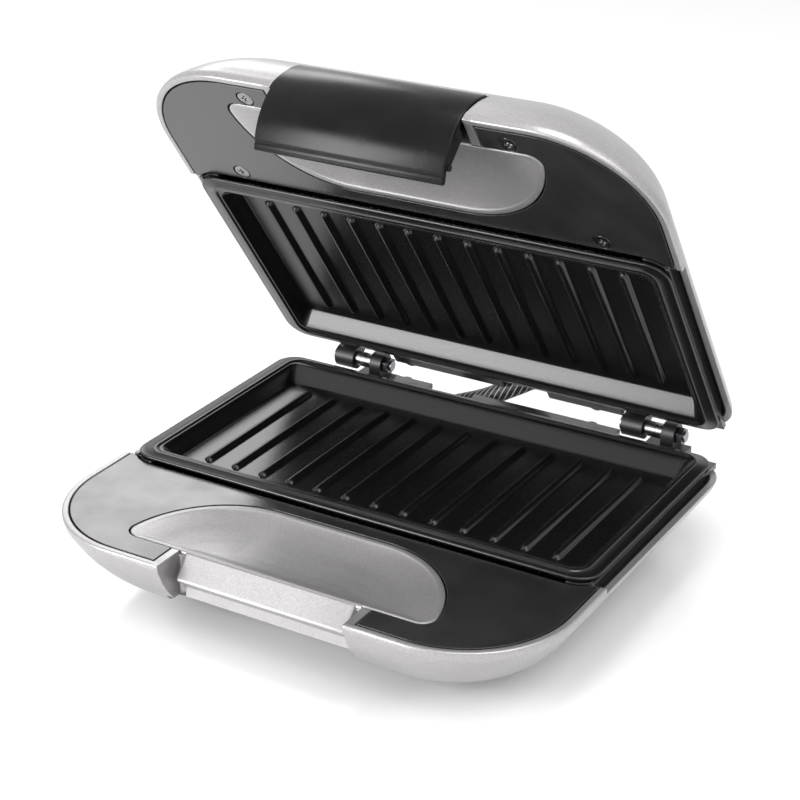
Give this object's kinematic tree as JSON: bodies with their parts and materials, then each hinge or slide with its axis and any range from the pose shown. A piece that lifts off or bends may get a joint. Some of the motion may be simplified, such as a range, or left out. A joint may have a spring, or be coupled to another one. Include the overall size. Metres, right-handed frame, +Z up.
{
  "type": "sandwich toaster",
  "caption": "Countertop sandwich toaster with a hinged lid standing half open, ribbed grill plates, finger bowls, a snap latch handle and rubber feet.",
  "frame": {"origin": "on the table plane, under the middle of the base housing's outline", "axes": "+X to the user's right, +Y from the front lip towards the hinges, +Z up from the table"},
  "size_m": [0.241, 0.2318, 0.2248],
  "materials": {
    "silver_paint": "silver metallic paint over moulded plastic",
    "black_deck": "satin black heat-proof plastic",
    "grill_coat": "cast aluminium with a black non-stick coat",
    "black_latch": "fine-grained black plastic",
    "black_hinge": "satin black plastic",
    "hinge_steel": "bright zinc-plated steel",
    "screw_steel": "blackened steel",
    "element_steel": "dull steel sheath",
    "shield_sheet": "thin bright sheet",
    "sleeve_rubber": "satin black flexible sleeve",
    "foot_rubber": "matte black rubber",
    "moulded_brown": "heat-proof moulding",
    "white_moulding": "white moulding",
    "red_lens": "clear red plastic",
    "green_lens": "clear green plastic",
    "board": "resin board"
  },
  "bodies": {
    "base": {"base_shell": "silver_paint", "base_deck": "black_deck", "base_finger_bowl": "silver_paint", "lower_plate": "grill_coat", "lower_element": "element_steel", "lower_element_clips": "hinge_steel", "lower_heat_shield": "shield_sheet", "thermostat": "moulded_brown", "thermal_fuse": "white_moulding", "terminal_block": "white_moulding", "cord_inlet_bush": "foot_rubber", "rubber_feet": "foot_rubber", "base_screws": "screw_steel", "base_hinge_blocks": "black_hinge", "base_hinge_screws": "screw_steel", "hinge_pins": "hinge_steel", "hinge_bushes": "hinge_steel", "hinge_nuts": "screw_steel", "lead_sleeve": "sleeve_rubber"},
    "lid": {"lid_shell": "silver_paint", "lid_deck": "black_deck", "lid_finger_bowl": "silver_paint", "upper_plate": "grill_coat", "upper_element": "element_steel", "upper_element_clips": "hinge_steel", "upper_heat_shield": "shield_sheet", "power_lens": "red_lens", "ready_lens": "green_lens", "lamp_board": "board", "lid_screws": "screw_steel", "lid_hinge_arms": "black_hinge", "lid_hinge_screws": "screw_steel"},
    "latch": {"latch_handle": "black_latch"}
  },
  "joints": [
    {"name": "lid_hinge", "type": "hinge", "parent": "base", "child": "lid", "pos_m": [0, 0.10865, 0.04675], "axis": [1, 0, 0], "range_deg": [-45.4, 54.6], "deforming": ["lead_sleeve"]},
    {"name": "latch_pivot", "type": "hinge", "parent": "lid", "child": "latch", "pos_m": [0, -0.00451, 0.2166], "axis": [1, 0, 0], "range_deg": [-15, 1]}
  ]
}
